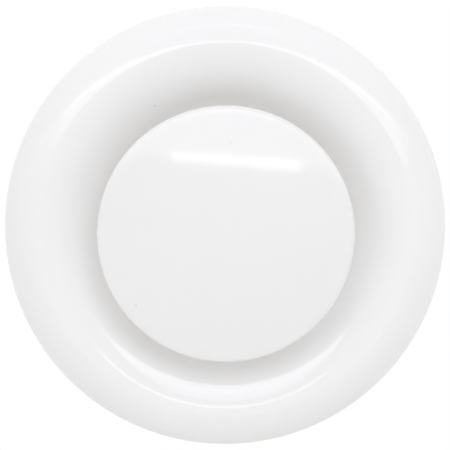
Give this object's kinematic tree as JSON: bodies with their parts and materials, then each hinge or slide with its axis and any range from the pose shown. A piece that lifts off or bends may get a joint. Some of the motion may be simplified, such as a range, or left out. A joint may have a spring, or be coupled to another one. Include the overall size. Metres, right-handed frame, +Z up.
{
  "type": "extract air valve",
  "caption": "Round white extract air valve: wide bell-mouth ring with a domed centre disc on a screw spindle that sets the air gap, locked by a bayonet in a duct collar.",
  "frame": {"origin": "centre of the wall plane on the valve's axis, at the back of the collar's flange", "axes": "+Y along the duct, into the wall; the front faces -Y; +Z up"},
  "size_m": [0.15, 0.0712, 0.15],
  "materials": {
    "white_plastic": "gloss white moulding",
    "collar_plastic": "satin white moulding",
    "seal_rubber": "matt black",
    "insert_brass": "turned",
    "plated_steel": "bright zinc plate",
    "clip_steel": "dark spring steel"
  },
  "bodies": {
    "collar": {"mounting_collar": "collar_plastic"},
    "valve": {"valve_body": "white_plastic", "neck_seal": "seal_rubber", "hub_insert": "insert_brass"},
    "spindle_stop": {"end_clip": "clip_steel"},
    "disc": {"disc": "white_plastic", "spindle": "plated_steel"},
    "washer": {"lock_washer": "plated_steel"},
    "nut": {"lock_nut": "plated_steel"}
  },
  "joints": [
    {"name": "valve_twist", "type": "hinge", "parent": "collar", "child": "valve", "pos_m": [0, 0, 0], "axis": [0, -1, 0], "range_deg": [0, 40]},
    {"name": "disc_travel", "type": "slide", "parent": "valve", "child": "spindle_stop", "axis": [0, -1, 0], "range_m": [-0.01601, 0.00501]},
    {"name": "disc_turn", "type": "hinge", "parent": "spindle_stop", "child": "disc", "pos_m": [0, 0, 0], "axis": [0, -1, 0], "range_deg": [-5760, 1800]},
    {"name": "nut_travel", "type": "slide", "parent": "valve", "child": "washer", "axis": [0, -1, 0], "range_m": [-0.003, 0]},
    {"name": "nut_turn", "type": "hinge", "parent": "washer", "child": "nut", "pos_m": [0, 0, 0], "axis": [0, -1, 0], "range_deg": [-1081, 1]}
  ],
  "couplings": [
    {"joint": "disc_travel", "follows": "disc_turn", "m_per_rad": 0.00015915},
    {"joint": "nut_turn", "follows": "nut_travel", "rad_per_m": 6283.2}
  ]
}
